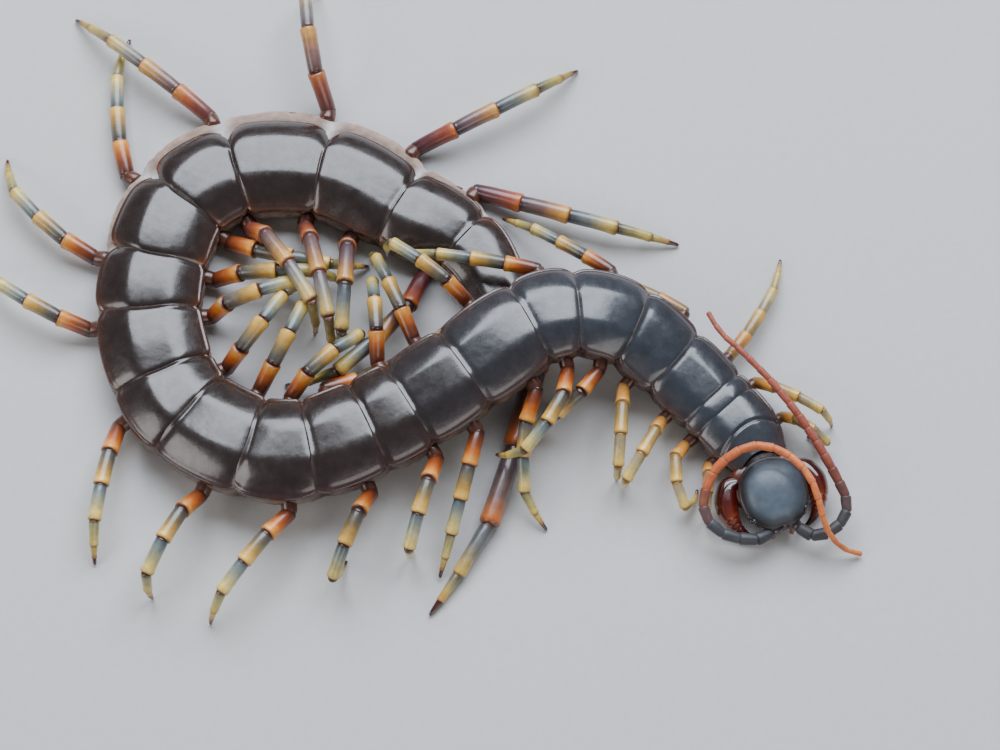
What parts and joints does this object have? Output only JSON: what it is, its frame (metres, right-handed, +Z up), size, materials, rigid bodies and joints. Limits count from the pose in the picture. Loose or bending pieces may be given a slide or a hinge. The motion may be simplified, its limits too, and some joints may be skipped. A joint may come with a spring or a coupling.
{
  "type": "giant centipede model",
  "caption": "Life-size giant centipede lying still in a loop, its head and front laid over its tail, with jointed legs spread, long antennae and dark back plates.",
  "frame": {"origin": "middle of the part's bounding box at floor level", "axes": "+X to the viewer's right along the pose's greatest length, +Y away from the viewer, +Z up from the floor"},
  "size_m": [0.1753, 0.1371, 0.0184],
  "materials": {
    "back_shell": "gloss",
    "head_shell": "gloss",
    "leg_shell": "satin",
    "antenna_shell": "satin",
    "fang_shell": "gloss"
  },
  "bodies": {
    "root": {"trunk_01_02": "back_shell", "trunk_03_04": "back_shell", "trunk_05_06": "back_shell", "trunk_07_08": "back_shell", "trunk_09_10": "back_shell", "trunk_11_12": "back_shell", "trunk_13_14": "back_shell", "trunk_15_16": "back_shell", "trunk_17_18": "back_shell", "trunk_19_20": "back_shell", "trunk_21": "back_shell", "leg_right_01": "leg_shell", "leg_right_02": "leg_shell", "leg_right_03": "leg_shell", "leg_right_04": "leg_shell", "leg_right_05": "leg_shell", "leg_right_06": "leg_shell", "leg_right_07": "leg_shell", "leg_right_08": "leg_shell", "leg_right_09": "leg_shell", "leg_right_10": "leg_shell", "leg_right_11": "leg_shell", "leg_right_12": "leg_shell", "leg_right_13": "leg_shell", "leg_right_14": "leg_shell", "leg_right_15": "leg_shell", "leg_right_16": "leg_shell", "leg_right_17": "leg_shell", "leg_right_18": "leg_shell", "leg_right_19": "leg_shell", "leg_right_20": "leg_shell", "leg_right_21": "leg_shell", "leg_left_01": "leg_shell", "leg_left_02": "leg_shell", "leg_left_03": "leg_shell", "leg_left_04": "leg_shell", "leg_left_05": "leg_shell", "leg_left_06": "leg_shell", "leg_left_07": "leg_shell", "leg_left_08": "leg_shell", "leg_left_09": "leg_shell", "leg_left_10": "leg_shell", "leg_left_11": "leg_shell", "leg_left_12": "leg_shell", "leg_left_13": "leg_shell", "leg_left_14": "leg_shell", "leg_left_15": "leg_shell", "leg_left_16": "leg_shell", "leg_left_17": "leg_shell", "leg_left_18": "leg_shell", "leg_left_19": "leg_shell", "leg_left_20": "leg_shell", "leg_left_21": "leg_shell", "head": "head_shell", "antenna_right": "antenna_shell", "forcipule_right": "fang_shell", "antenna_left": "antenna_shell", "forcipule_left": "fang_shell"}
  },
  "joints": []
}
